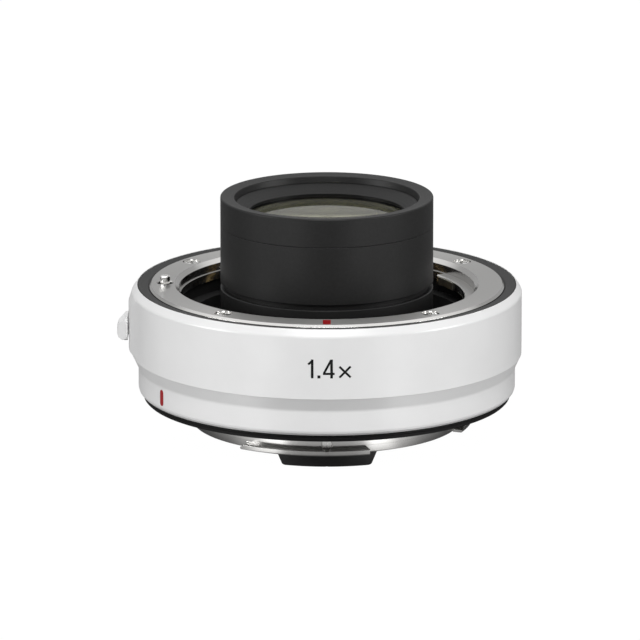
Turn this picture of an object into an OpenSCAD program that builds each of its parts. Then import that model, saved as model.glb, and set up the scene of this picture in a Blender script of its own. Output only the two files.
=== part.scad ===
// Camera teleconverter: a short white body with a lens mount on its front,
// a bayonet for the camera on its rear, and a black optical barrel that stands out of the front mount.
// Millimetres. The origin is on the optical axis, in the plane of the rear mount face.
// +Z points to the lens side, and the magnification mark faces -Y.
// Angles are measured from the front (-Y) towards the right (+X).

/* [Mount standard] */
// Distance between the front and the rear mount face
flange_gap = 20.3; // [20:0.1:26]
// Diameter of the front throat
throat_d = 54; // [53.6:0.1:54.6]
// Radial play of the rear pilot in a throat of the same size
pilot_play = 0.15; // [0.1:0.05:0.2]
// Outer diameter of the front mount face
mount_face_d = 64.8; // [64.4:0.1:65.4]
// Width of the bevel round the throat
throat_bevel_w = 0.8; // [0.5:0.05:0.9]
// Thickness of the front mount flange
mount_t = 1.7; // [1.5:0.1:1.9]
// Depth of the claws below the front mount face
claw_drop = 2.15; // [2:0.05:2.3]
// Thickness of the claws
claw_t = 1.45; // [1.3:0.05:1.6]
// How far the claws reach into the throat
claw_reach = 1.65; // [1.5:0.05:1.8]
// Space between a claw and a lug, for the leaf spring
lug_play = 0.75; // [0.6:0.05:0.9]
// Thickness of the rear lugs
lug_t = 1.1; // [1:0.1:1.3]
// Diameter over the rear lugs
lug_d = 53.2; // [52.8:0.1:53.3]
// Outer diameter of the rear collar
collar_d = 49.5; // [49.2:0.1:49.8]
// Wall of the rear collar
collar_wall = 1.35; // [1.2:0.05:1.5]

/* [Body shell] */
// Diameter of the body
body_d = 71.2; // [70.6:0.1:76]
// Wall of the shell
shell_wall = 1.3; // [1.1:0.1:1.5]
// Height of the sharp lower edge of the wide band
band_edge_z = 7.44; // [6.6:0.1:8.2]
// Drop in radius from the wide band to the narrow one
band_step = 1.15; // [0.9:0.05:1.3]
// Height of the cone below the wide band
band_cone_h = 2.4; // [2:0.1:2.8]
// Height of the chamfer round the top of the shell
top_chamfer_h = 1.28; // [1:0.1:1.6]
// Height of the shell's bottom edge above the rear face
shell_lift = 0.42; // [0.3:0.02:0.6]
// Drop of the shell's top edge below the front mount face
lip_drop = 0.15; // [0.1:0.05:0.3]
// Width of the shell's lip round the trim ring
lip_w = 1.02; // [0.9:0.02:1.06]
// How far the rear seal hangs below the rear face
seal_drop = 0.88; // [0.6:0.02:1.1]

/* [Optical barrel] */
// Diameter of the barrel
barrel_d = 38.8; // [36:0.1:42]
// How far the barrel stands out of the front mount face
barrel_rise = 16.28; // [15.6:0.1:18]
// Height of the barrel's front ring
front_ring_h = 5.26; // [4.8:0.1:5.8]
// Height of the groove at the foot of the barrel
groove_h = 0.95; // [0.7:0.05:1.2]
// Depth of that groove
groove_depth = 0.8; // [0.6:0.1:1]
// Radius of the front lens
front_lens_r = 14.6; // [14.3:0.1:14.8]
// Radius of the second lens group
second_lens_r = 12.6; // [12.3:0.1:12.8]
// Radius of the third lens group
third_lens_r = 11; // [10.8:0.1:11.2]
// Radius of the rear lens group
rear_lens_r = 11.5; // [11.3:0.1:11.6]

/* [Lens release] */
// Distance of the lock pin from the optical axis
pin_pos_r = 29.5; // [29.3:0.1:29.9]
// Diameter of the lock pin
pin_d = 1.8; // [1.5:0.1:1.9]
// How far the lock pin stands out of the mount face
pin_rise = 1.3; // [0.9:0.1:1.4]
// Travel of the release knob and the lock pin
release_travel = 1.6; // [1.4:0.1:1.7]
// Height of the release knob
knob_h = 4.2; // [3.8:0.1:4.8]
// Width of the release knob
knob_w = 7; // [6.4:0.1:7.6]
// How far the knob stands out of its pad
knob_out = 2.1; // [1.8:0.1:2.6]
// How far the pad round the knob stands out of the shell
pad_out = 0.6; // [0.4:0.1:0.8]

/* [Contacts] */
// Distance of the contacts from the optical axis
contact_r = 21.7; // [21.6:0.05:21.8]
// Angle between neighbouring contacts
contact_pitch = 6.5; // [6.3:0.1:6.6]
// Diameter of a spring contact
contact_d = 1; // [0.9:0.05:1.1]
// Travel of a spring contact
contact_travel = 0.8; // [0.6:0.1:0.9]
// Depth of the rear guard and contact block below the rear face
guard_drop = 8.4; // [8:0.1:8.8]
// Width of the rear guard
guard_w = 18.5; // [17.5:0.1:19.5]

/* [Hidden] */
round_fn = 160;
small_fn = 40;
eps = 0.01;
// Gap between pieces that are fastened together
seat_gap = 0.03;
// Gap between a piece and the bore that it slides into
slip_gap = 0.05;
// Gap round a piece that moves
run_gap = 0.3;
// Gap between the knob and its pad
pad_gap = 0.12;
// Gap of a cemented lens surface
cement_gap = 0.02;
// How far a cut runs past a face
over = 1;

// Main radii and the shell's top
body_r = body_d / 2;
low_r = body_r - band_step;
trim_r = body_r - lip_w;
mount_r = mount_face_d / 2;
throat_r = throat_d / 2;
barrel_r = barrel_d / 2;
lip_z = flange_gap - lip_drop;

// Bayonet: each lug and claw between two angles, from the front towards the right
lug_angles = [[-36, 17], [68, 126], [190, 224]];
claw_angles = [[-36, 17], [79, 126], [190, 224]];
throat_ledge = 0.25;
gap_r = throat_r - throat_ledge;
claw_in_r = gap_r - claw_reach;
collar_r = collar_d / 2;
collar_in_r = collar_r - collar_wall;
lug_r = lug_d / 2;
throat_wall = 1.4;
throat_out_r = gap_r + throat_wall;
claw_top_z = flange_gap - claw_drop;
claw_low_z = claw_top_z - claw_t;
lug_top_z = -(claw_drop + claw_t + lug_play);
collar_end_z = lug_top_z - lug_t;
pilot_r = throat_r - pilot_play;
pilot_end_play = 0.35;
pilot_h = claw_drop - pilot_end_play;
pilot_edge = 0.3;
mount_bevel = 0.4;
throat_bevel_h = 0.7;
neck_step = 0.13;
neck_r = collar_r + neck_step;
neck_drop = 0.3;
lug_edge = 0.2;
lug_ramp_a = 28;
seal_seat_w = 2.6;
rear_mount_r = low_r - seal_seat_w;
stop_head_d = 1.7;
stop_head_h = 0.45;
stop_head_gap = 0.15;
stop_head_drop = 0.3;
lock_hole_gap = 0.45;
stop_screw_d = 1;
stop_screw_rise = 0.73;
stop_screw_z = lug_top_z + stop_screw_rise;

// Frame that carries both mounts
frame_seat_z = flange_gap - mount_t;
frame_flange_t = 1.7;
frame_flange_low_z = frame_seat_z - frame_flange_t;
frame_wall = 1.2;
rear_flange_t = 1.6;
floor_t = 1.8;
floor_top_z = rear_flange_t + floor_t;
frame_r = body_r - shell_wall - slip_gap;
frame_low_r = low_r - shell_wall - slip_gap;
step_lift = 0.2;
step_top_z = band_edge_z + step_lift;
step_low_z = step_top_z - band_step;
frame_step = 0.4;

// Screws of both mounts
screw_inset = 2.8;
screw_pos_r = throat_r + screw_inset;
front_screw_angles = [-123, -38.5, 38.5, 123];
rear_screw_inset = 2.05;
rear_screw_r = pilot_r + rear_screw_inset;
rear_screw_angles = [45, 135, 225, 315];
screw_head_d = 3.2;
screw_head_h = 0.9;
screw_dome = 0.28;
screw_sink = 0.35;
rear_screw_sink = 0.1;
screw_d = 1.6;
screw_l = 5.2;
screw_tip_gap = 0.5;
front_screw_end_z = flange_gap - screw_sink - screw_l;
head_rim = 0.1;
boss_d = 3;
small_boss_d = 2.6;
small_head_d = 2;
small_head_h = 0.5;
small_d = 1.1;

// Contact circle, and the barrel base inside it
block_half_w = 1.3;
block_in_r = contact_r - block_half_w;
block_out_r = contact_r + block_half_w;
block_lap = 0.8;
block_flange_r = block_out_r + block_lap;
base_gap = 1;
base_r = block_in_r - base_gap;

// Throat lining
shelf_play = 0.45;
shelf_z = flange_gap + collar_end_z - shelf_play;
shelf_gap = 0.9;
shelf_r = block_flange_r + shelf_gap;
lining_t = 1;
guard_play = 0.7;
throat_floor_z = flange_gap - guard_drop - guard_play;
lining_setback = 0.35;
lining_wall_r = gap_r + lining_setback;
lining_hole_gap = 0.6;

// Optical barrel, from its top down
barrel_top_z = flange_gap + barrel_rise;
seam_z = barrel_top_z - front_ring_h;
groove_rise = 0.36;
groove_top_z = flange_gap + groove_rise;
groove_low_z = groove_top_z - groove_h;
edge_chamfer = 0.12;
rim_w = 2.55;
rim_in_r = barrel_r - rim_w;
rim_slope = 0.28;
rim_edge = 0.1;
rim_round = 0.3;
well_step = 0.25;
well_r = rim_in_r - well_step;
well_drop = 1.35;
spigot_wall = 0.6;
spigot_r = well_r + spigot_wall;
front_ring_gap = 0.1;
core_r = base_r - groove_depth;

// Lenses: heights of the surface centres and radii of curvature,
// positive where the surface bulges towards the lens side
lens_1_t = 5.5;
lens_2_t = 6;
lens_3_t = 2;
lens_4_t = 1.5;
lens_5_t = 5.5;
lens_6_t = 4;
lens_7_t = 1.5;
front_lens_drop = 2.58;
front_top_curve = 110;
front_low_curve = 60;
second_drop = 1.8;
second_low_curve = 30;
second_mid_curve = 40;
second_top_curve = 40;
third_drop = 15.3;
third_low_curve = 45;
third_mid_curve = 30;
third_top_curve = 35;
rear_drop = 1;
rear_low_curve = 80;
rear_mid_curve = 50;
rear_top_curve = 60;
front_top = [barrel_top_z - front_lens_drop, front_top_curve];
front_low = [front_top[0] - lens_1_t, -front_low_curve];
second_low = [flange_gap - second_drop, second_low_curve];
second_mid = [second_low[0] + lens_3_t, -second_mid_curve];
second_top = [second_mid[0] + lens_2_t, second_top_curve];
third_low = [flange_gap - third_drop, -third_low_curve];
third_mid = [third_low[0] + lens_5_t, third_mid_curve];
third_top = [third_mid[0] + lens_4_t, -third_top_curve];
rear_low = [-rear_drop, -rear_low_curve];
rear_mid = [rear_low[0] + lens_7_t, -rear_mid_curve];
rear_top = [rear_mid[0] + lens_6_t, rear_top_curve];

// Lens seats
lens_lip = 0.9;
spacer_wall = 1.2;
spacer_in_r = second_lens_r - spacer_wall;
spacer_play = 0.1;
front_seat_z = surface_z(front_low, second_lens_r) - cement_gap;
second_seat_z = surface_z(second_low, second_lens_r) - cement_gap;
lip_t = 1;
barrel_low_z = second_seat_z - lip_t;
third_lip_r = third_lens_r - lens_lip;
third_seat_z = surface_z(third_low, third_lip_r) - cement_gap;
rear_lip_r = rear_lens_r - lens_lip;
rear_seat_z = surface_z(rear_top, rear_lip_r) + cement_gap;
cell_wall = 2.45;
cell_r = rear_lens_r + cell_wall;
cell_end_gap = 0.4;
cell_end_z = rear_low[0] - cell_end_gap;
cell_flange_w = 4.2;
cell_flange_r = cell_r + cell_flange_w;
cell_screw_r = cell_r + cell_flange_w / 2;
cell_screw_l = 2.6;
barrel_screw_r = (cell_r + base_r) / 2;
barrel_screw_grip = 2.5;
barrel_screw_angles = [30, 150, 270];
cell_screw_angles = [90, 210, 330];
cell_flange_t = 1.4;
cell_flange_low_z = rear_flange_t - seat_gap - cell_flange_t;

// Lens release on the left
release_a = -90;
release_z = 12.2;
pad_r = body_r + pad_out;
pad_w = 8;
pad_foot_w = 19;
pad_foot_r = sqrt(body_r * body_r - pad_foot_w * pad_foot_w / 4);
pad_lift = 0.45;
pad_slope = 1.9;
pad_root = 0.5;
neck_w = 4;
neck_h = 2.6;
slot_corner = 0.6;
slider_w = 6.8;
slider_up = 3.3;
slider_down = 2.9;
slider_low_z = release_z - slider_down;
slider_t = 1.3;
slider_out_r = body_r - shell_wall - run_gap;
slider_in_r = slider_out_r - slider_t;
arm_t = 1.4;
arm_w = 3.6;
arm_drop = 0.9;
arm_top_z = release_z - arm_drop;
arm_low_z = arm_top_z - arm_t;
pin_hole_gap = 0.55;
pin_hole_d = pin_d + 2 * pin_hole_gap;
pin_collar_w = 0.3;
pin_collar_d = pin_d + 2 * pin_collar_w;
pin_collar_t = 0.8;
pin_tip = 0.18;
spring_r = 1.15;
spring_wire_r = 0.17;
spring_turns = 6;
spring_post_h = 2.6;
knob_screw_dy = 1.05;
knob_screw_grip = 2;
knob_screw_d = 0.8;
knob_screw_head_d = 1.3;
knob_screw_head_h = 0.4;

// Contacts on both sides, opposite the magnification mark
contact_a = 180;
contact_count = 12;
contact_span = contact_pitch * (contact_count - 1) / 2;
front_block_span = contact_span + 4.6;
front_block_rise = 0.5;
front_block_top_z = throat_floor_z + front_block_rise;
front_block_drop = 5;
front_block_low_z = throat_floor_z - front_block_drop;
block_flange_t = 1;
block_flange_span = front_block_span + 6.5;
block_flange_z = throat_floor_z - lining_t - seat_gap - block_flange_t;
contact_screw_span = front_block_span + 3.5;
contact_screw_grip = 0.5;
block_side_a = 0.3;
block_cap_t = 1.3;
chamber_top_z = front_block_top_z - block_cap_t;
chamber_w = 0.35;
chamber_d = contact_d + 2 * chamber_w;
shoulder_w = 0.25;
shoulder_d = contact_d + 2 * shoulder_w;
shoulder_t = 0.6;
stem_h = 0.6;
chamber_floor_t = 0.8;
chamber_low_z = front_block_low_z + chamber_floor_t;
pad_recess = 0.3;
contact_tip_z = flange_gap - guard_drop + pad_recess + contact_travel;
contact_spring_r = 0.5;
contact_wire_r = 0.1;
pad_t = 0.6;
pad_span = 4.4;
pad_half_l = 0.7;
pad_in_r = contact_r - pad_half_l;
pad_out_r = contact_r + pad_half_l;
channel_gap = 0.15;
channel_end_a = 0.7;
block_edge = 0.3;
block_head_depth = 1.2;
rear_block_span = contact_span + 9.2;
rear_screw_span = contact_span + 6.1;
block_screw_angles = [0, contact_a - rear_screw_span, contact_a + rear_screw_span];

// Rear baffle with the guard
baffle_t = 0.9;
baffle_top_z = cell_end_z - run_gap;
baffle_low_z = baffle_top_z - baffle_t;
baffle_r = collar_in_r - slip_gap;
baffle_rim = 1;
baffle_hole_gap = 0.3;
baffle_hole_r = rear_lip_r + baffle_hole_gap;
baffle_flare = 0.6;
block_profile = [[block_in_r, -guard_drop], [block_out_r - block_edge, -guard_drop],
    [block_out_r, block_edge - guard_drop], [block_out_r, baffle_low_z - seat_gap],
    [block_in_r, baffle_low_z - seat_gap]];
guard_slope = 1.29;
guard_corner = 0.8;

// Circuit board and ribbons
board_t = 1;
board_gap = 1;
board_low_z = floor_top_z + board_gap;
board_top_z = board_low_z + board_t;
board_in_gap = 0.9;
board_in_r = base_r + board_in_gap;
board_out_gap = 1;
board_out_r = rear_screw_r - boss_d / 2 - board_out_gap;
board_angles = [104, 256];
board_screw_edge = 1.8;
board_screw_r = board_out_r - board_screw_edge;
board_screw_angles = [108.5, 251.5];
board_screw_grip = 1;
chip_t = 0.8;
ribbon_t = 0.2;
ribbon_span = 7;
ribbon_lap = 1.6;
ribbon_slot = 0.6;
ribbon_slot_span = ribbon_span + 1;

// Marks
front_mark_w = 1.4;
front_mark_in = 1.3;
front_mark_edge = 0.8;
front_mark_r = [throat_r + front_mark_in, mount_r - front_mark_edge];
mark_depth = 0.15;
rear_mark_a = -60;
rear_mark_w = 1.2;
rear_mark_h = 3;
rear_mark_drop = 0.54;
rear_mark_top_z = band_edge_z - band_cone_h - rear_mark_drop;
rear_mark_z = [rear_mark_top_z - rear_mark_h, rear_mark_top_z];

contact_nodes = [for (i = [1:contact_count]) str("contact_pin_", i < 10 ? "0" : "", i)];

// Height of a curved lens surface at a radius
function surface_z(s, r) = s[0] - sign(s[1]) * (abs(s[1]) - sqrt(s[1] * s[1] - r * r));

// Profile of a plain ring
function ring(r1, r2, z1, z2) = [[r1, z1], [r2, z1], [r2, z2], [r1, z2]];

// Points of an arc in a profile
function arc(c, r, a1, a2, n = 6) =
    [for (i = [0:n]) let (a = a1 + (a2 - a1) * i / n) c + r * [cos(a), sin(a)]];

// Angle of a contact
function contact_angle(i) = contact_a + (i - (contact_count - 1) / 2) * contact_pitch;

// Ring turned from a profile of [radius, height] points
module turned(profile) {
    rotate_extrude($fn = round_fn) polygon(profile);
}

// Part of a turned ring between two angles
module turned_arc(profile, a1, a2) {
    rotate([0, 0, a1 - 90]) rotate_extrude(angle = a2 - a1, $fn = round_fn) polygon(profile);
}

// Children placed at an angle and a radius, with their X axis pointing outwards
module at_angle(a, r = 0, z = 0) {
    rotate([0, 0, a - 90]) translate([r, 0, z]) children();
}

// Bar along the X axis with a round-cornered section, between two radii
module radial_bar(r1, r2, w, z1, z2, corner) {
    l = r2 - r1;
    translate([r1, -w / 2 + corner, z1]) cube([l, w - 2 * corner, z2 - z1]);
    translate([r1, -w / 2, z1 + corner]) cube([l, w, z2 - z1 - 2 * corner]);
    for (y = [-1, 1] * (w / 2 - corner), z = [z1 + corner, z2 - corner])
        translate([r1, y, z]) rotate([0, 90, 0]) cylinder(r = corner, h = l, $fn = small_fn);
}

// Countersunk screw with a raised head, head edge at height 0 and shank downwards
module screw(head_d, head_h, dome, d, l) {
    recess = head_d * 0.62;
    recess_w = head_d * 0.17;
    recess_depth = head_h * 0.6;
    difference() {
        rotate_extrude($fn = small_fn) polygon(concat(
            [[0, -l], [d / 2, -l], [d / 2, -head_h], [head_d / 2, -head_rim], [head_d / 2, 0]],
            [for (a = [30:30:60]) if (dome > 0) [head_d / 2 * cos(a), dome * sin(a)]], [[0, dome]]));
        for (a = [0, 90])
            rotate([0, 0, a])
                translate([-recess / 2, -recess_w / 2, -recess_depth])
                    cube([recess, recess_w, recess_depth + over]);
    }
}

// Hole for such a screw
module screw_hole(head_d, head_h, d, l) {
    rotate_extrude($fn = small_fn) polygon([
        [0, -l], [d / 2 + seat_gap, -l], [d / 2 + seat_gap, -head_h], [head_d / 2 + seat_gap, -head_rim],
        [head_d / 2 + seat_gap, over], [0, over]]);
}

// Straight hole for a shank, with a gap all round
module drill(d, h, gap = seat_gap) {
    cylinder(d = d + 2 * gap, h = h, $fn = small_fn);
}

// Ball that carries a lens surface
module ball(s) {
    translate([0, 0, s[0] - s[1]]) sphere(r = abs(s[1]), $fn = round_fn);
}

// Keeps what lies below a lens surface
module below_surface(s) {
    if (s[1] > 0)
        intersection() {
            children();
            ball(s);
        }
    else
        difference() {
            children();
            ball(s);
        }
}

// Keeps what lies above a lens surface
module above_surface(s) {
    if (s[1] < 0)
        intersection() {
            children();
            ball(s);
        }
    else
        difference() {
            children();
            ball(s);
        }
}

// Lens element between two surfaces
module lens(r, top, low) {
    color("lightcyan", 0.5)
        above_surface(low) below_surface(top)
            translate([0, 0, low[0] - r]) cylinder(r = r, h = top[0] - low[0] + 2 * r, $fn = round_fn);
}

// Coil spring along Z, its wire between two heights
module coil(r, wire_r, z1, z2, turns, rings, sides) {
    n = turns * rings;
    rise = z2 - z1 - 2 * wire_r;
    points = [for (i = [0:n], j = [0:sides - 1])
        let (a = 360 * i / rings, b = 360 * j / sides, q = r + wire_r * cos(b))
        [q * cos(a), q * sin(a), z1 + wire_r + rise * i / n + wire_r * sin(b)]];
    walls = [for (i = [0:n - 1], j = [0:sides - 1], k = [0, 1])
        let (p = i * sides + j, q = i * sides + (j + 1) % sides)
        k == 0 ? [p, p + sides, q + sides] : [p, q + sides, q]];
    ends = [for (j = [1:sides - 2], k = [0, 1])
        k == 0 ? [0, j, j + 1] : [n * sides, n * sides + j + 1, n * sides + j]];
    polyhedron(points, concat(walls, ends));
}

// Bowed leaf between two angles, its ends just under a claw
module bowed_leaf(r1, r2, top_z, t, bow, a1, a2) {
    half_l = r2 * sin((a2 - a1) / 2);
    bend_r = (half_l * half_l + bow * bow) / (2 * bow);
    intersection() {
        turned_arc(ring(r1, r2, top_z - bow - over, top_z + over), a1, a2);
        at_angle((a1 + a2) / 2, 0, top_z - bow + bend_r) rotate([0, 90, 0]) difference() {
            cylinder(r = bend_r + t, h = r2 + over, $fn = round_fn);
            translate([0, 0, -over]) cylinder(r = bend_r, h = r2 + 3 * over, $fn = round_fn);
        }
    }
}

// Pad on the shell round the release knob, its sides running out into the shell
module release_pad() {
    low_z = band_edge_z + pad_lift;
    top_z = lip_z - top_chamfer_h;
    intersection() {
        turned([[body_r - pad_root, low_z], [body_r, low_z], [pad_r, low_z + pad_out],
                [pad_r, top_z - pad_slope], [body_r, top_z], [body_r - pad_root, top_z]]);
        at_angle(release_a)
            linear_extrude(height = flange_gap)
                polygon([[low_r - pad_root, -pad_foot_w / 2], [pad_foot_r, -pad_foot_w / 2],
                         [pad_r, -pad_w / 2], [pad_r, pad_w / 2],
                         [pad_foot_r, pad_foot_w / 2], [low_r - pad_root, pad_foot_w / 2]]);
    }
}

// White shell: a wide band over a narrower one, with a cone between them
module outer_shell() {
    blend_r = 1.6;
    cone_a = atan2(band_cone_h, band_step);
    blend_z = band_edge_z - band_cone_h - blend_r * tan((90 - cone_a) / 2);
    bevel_w = 0.5;
    bevel_h = 0.85;
    bevel_bulge = 0.13;
    edge = 0.1;
    edge_h = 0.15;
    lip_land = 0.08;
    lip_round = 0.06;
    chamfer_z = lip_z - top_chamfer_h;
    slot_low_z = release_z - neck_h / 2 - release_travel - run_gap;
    color("white")
        difference() {
            union() {
                turned(concat(
                    [[low_r - bevel_w, shell_lift],
                     [low_r - bevel_w / 2 + bevel_bulge, shell_lift + bevel_h / 2],
                     [low_r, shell_lift + bevel_h]],
                    arc([low_r + blend_r, blend_z], blend_r, 180, 90 + cone_a),
                    [[body_r - edge, band_edge_z - edge], [body_r, band_edge_z + edge / 2],
                     [body_r, chamfer_z - edge_h], [body_r - edge, chamfer_z + edge_h],
                     [trim_r + lip_land + lip_round, lip_z - lip_round], [trim_r + lip_land, lip_z],
                     [trim_r, lip_z], [trim_r, frame_seat_z],
                     [body_r - shell_wall, frame_seat_z], [body_r - shell_wall, step_top_z],
                     [low_r - shell_wall, step_low_z], [low_r - shell_wall, shell_lift]]));
                release_pad();
            }
            at_angle(release_a)
                radial_bar(body_r - shell_wall - over, pad_r + over, neck_w + 2 * run_gap, slot_low_z,
                    release_z + neck_h / 2 + run_gap, slot_corner);
            rear_mark_bar(low_r - mark_depth, low_r + over);
        }
}

// Black ring between the shell's lip and the mount face, dished towards the mount
module front_trim_ring() {
    in_r = mount_r + slip_gap;
    out_r = trim_r - slip_gap;
    edge = 0.15;
    foot_w = 0.25;
    foot_z = flange_gap - mount_bevel - seat_gap;
    color([0.25, 0.25, 0.26])
        turned([[in_r, frame_seat_z], [out_r, frame_seat_z], [out_r, lip_z - edge], [out_r - edge, lip_z],
                [in_r + foot_w, foot_z], [in_r, foot_z - edge]]);
}

// Steel mount with three claws in its throat
module front_mount_ring() {
    claw_edge = 0.2;
    pin_hole_bevel = 0.2;
    pin_hole_r = pin_hole_d / 2;
    claw_gaps = [for (i = [0:2]) [claw_angles[i][1], claw_angles[(i + 1) % 3][0] + (i == 2 ? 360 : 0)]];
    color("silver")
        difference() {
            turned([
                [throat_r + throat_bevel_w, flange_gap], [throat_r, flange_gap - throat_bevel_h],
                [throat_r, claw_top_z], [claw_in_r + claw_edge, claw_top_z],
                [claw_in_r, claw_top_z - claw_edge], [claw_in_r, claw_low_z],
                [throat_out_r, claw_low_z], [throat_out_r, frame_seat_z], [mount_r, frame_seat_z],
                [mount_r, flange_gap - mount_bevel], [mount_r - mount_bevel, flange_gap]]);
            for (g = claw_gaps)
                turned_arc(ring(claw_in_r - over, gap_r, claw_low_z - over, claw_top_z + over), g[0], g[1]);
            for (a = front_screw_angles)
                at_angle(a, screw_pos_r, flange_gap - screw_sink)
                    screw_hole(screw_head_d, screw_head_h, screw_d, mount_t + over);
            at_angle(release_a, pin_pos_r, flange_gap)
                rotate_extrude($fn = small_fn) polygon([
                    [0, -mount_t - over], [pin_hole_r, -mount_t - over], [pin_hole_r, -pin_hole_bevel],
                    [pin_hole_r + pin_hole_bevel, 0], [pin_hole_r + pin_hole_bevel, over], [0, over]]);
            front_mark_bar(mark_depth + over);
        }
}

// Bar of the front index mark, cut down from above the mount face
module front_mark_bar(h) {
    at_angle(0)
        translate([front_mark_r[0], -front_mark_w / 2, flange_gap - mark_depth])
            cube([front_mark_r[1] - front_mark_r[0], front_mark_w, h]);
}

// Screws of the front mount
module front_mount_screws() {
    color("gainsboro")
        for (a = front_screw_angles)
            at_angle(a, screw_pos_r, flange_gap - screw_sink)
                rotate([0, 0, 45]) screw(screw_head_d, screw_head_h, screw_dome, screw_d, screw_l);
}

// Red fill of the front index mark
module front_index_mark() {
    color("firebrick") front_mark_bar(mark_depth);
}

// Spring steel leaves that press the lugs, each with a tab bent up against the claw's inner face
module bayonet_leaf_springs() {
    leaf_t = 0.2;
    leaf_bow = 0.45;
    leaf_end_a = 2;
    leaf_inset = 0.3;
    leaf_play = 0.15;
    tab_a = 14;
    tab_end_a = 1.6;
    tab_lap_a = 0.2;
    tab_drop = 0.3;
    top_z = claw_low_z - seat_gap;
    tab_top_z = claw_top_z - tab_drop;
    leaf_out_r = gap_r - leaf_play;
    foot_r = leaf_out_r - leaf_play;
    tab_out_r = claw_in_r - seat_gap;
    tab_in_r = tab_out_r - leaf_t;
    color("dimgray")
        for (c = claw_angles) {
            turned_arc([[tab_in_r, top_z - leaf_t], [foot_r, top_z - leaf_t], [foot_r, top_z],
                        [tab_out_r, top_z], [tab_out_r, tab_top_z], [tab_in_r, tab_top_z]],
                c[1] - tab_a, c[1] - tab_end_a);
            bowed_leaf(claw_in_r + leaf_inset, leaf_out_r, top_z - seat_gap, leaf_t, leaf_bow,
                c[0] + leaf_end_a, c[1] - tab_a + tab_lap_a);
        }
}

// Matt black lining of the throat, stepped down to a floor round the barrel
module throat_lining() {
    hole_r = base_r + lining_hole_gap;
    top_z = claw_low_z - seat_gap;
    low_z = throat_floor_z - lining_t;
    slot_span = front_block_span + block_side_a;
    color([0.1, 0.1, 0.1])
        difference() {
            turned([[throat_out_r, top_z], [lining_wall_r, top_z], [lining_wall_r, shelf_z],
                    [shelf_r, shelf_z], [shelf_r, throat_floor_z], [hole_r, throat_floor_z], [hole_r, low_z],
                    [shelf_r + lining_t, low_z], [shelf_r + lining_t, shelf_z - lining_t],
                    [throat_out_r, shelf_z - lining_t]]);
            turned_arc(ring(base_r, block_out_r + slip_gap, low_z - over, throat_floor_z + over),
                contact_a - slot_span, contact_a + slot_span);
            for (s = [-1, 1])
                at_angle(contact_a + s * contact_screw_span, contact_r, low_z - over)
                    drill(small_d, over + contact_screw_grip + seat_gap);
        }
}

// Die-cast frame: a floor for the rear mount and the barrel, a wall, and a flange for the front mount
module inner_frame() {
    in_r = cell_r + slip_gap;
    color("slategray")
        difference() {
            union() {
                turned([[in_r, rear_flange_t], [frame_low_r, rear_flange_t], [frame_low_r, step_low_z],
                        [frame_r, step_top_z], [frame_r, frame_seat_z - seat_gap],
                        [throat_out_r + slip_gap, frame_seat_z - seat_gap],
                        [throat_out_r + slip_gap, frame_flange_low_z],
                        [frame_r - frame_wall, frame_flange_low_z],
                        [frame_r - frame_wall, step_top_z + frame_step],
                        [frame_low_r - frame_wall, step_low_z + frame_step],
                        [frame_low_r - frame_wall, floor_top_z], [in_r, floor_top_z]]);
                for (a = front_screw_angles)
                    at_angle(a, screw_pos_r, front_screw_end_z - screw_tip_gap)
                        cylinder(d = boss_d, $fn = small_fn,
                            h = frame_flange_low_z - front_screw_end_z + screw_tip_gap + over);
                for (a = rear_screw_angles)
                    at_angle(a, rear_screw_r, floor_top_z - eps)
                        cylinder(d = boss_d, h = screw_l + screw_tip_gap - floor_top_z, $fn = small_fn);
                for (a = board_screw_angles)
                    at_angle(a, board_screw_r, floor_top_z - eps)
                        cylinder(d = small_boss_d, h = board_gap - seat_gap + eps, $fn = small_fn);
                at_angle(release_a, pin_pos_r, floor_top_z - eps)
                    cylinder(r = spring_r - spring_wire_r - slip_gap, h = spring_post_h, $fn = small_fn);
            }
            frame_cuts();
        }
}

// Holes and windows of the frame
module frame_cuts() {
    for (a = front_screw_angles)
        at_angle(a, screw_pos_r, front_screw_end_z - seat_gap)
            drill(screw_d, screw_l);
    for (a = rear_screw_angles)
        at_angle(a, rear_screw_r, 0)
            drill(screw_d, rear_screw_sink + screw_l + seat_gap);
    for (a = board_screw_angles)
        at_angle(a, board_screw_r, floor_top_z - board_screw_grip - screw_tip_gap)
            drill(small_d, board_screw_grip + screw_tip_gap + board_gap + over);
    for (a = barrel_screw_angles)
        at_angle(a, barrel_screw_r, rear_flange_t)
            mirror([0, 0, 1]) screw_hole(small_head_d, small_head_h, small_d, floor_t + over);
    for (a = cell_screw_angles)
        at_angle(a, cell_screw_r, cell_flange_low_z)
            drill(small_d, cell_screw_l + seat_gap);
    at_angle(release_a, pin_pos_r, frame_flange_low_z - over)
        drill(pin_d, frame_flange_t + 2 * over, slip_gap);
    window_low_z = slider_low_z - release_travel - run_gap;
    at_angle(release_a)
        translate([slider_in_r - frame_wall, -slider_w / 2 - run_gap, window_low_z])
            cube([frame_r, slider_w + 2 * run_gap, release_z + slider_up + run_gap - window_low_z]);
    turned(ring(0, throat_out_r + slip_gap, floor_top_z + screw_l, flange_gap));
    turned_arc(
        ring(contact_r - ribbon_slot, contact_r + ribbon_slot, rear_flange_t - over, floor_top_z + over),
        contact_a - ribbon_slot_span, contact_a + ribbon_slot_span);
}

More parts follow.
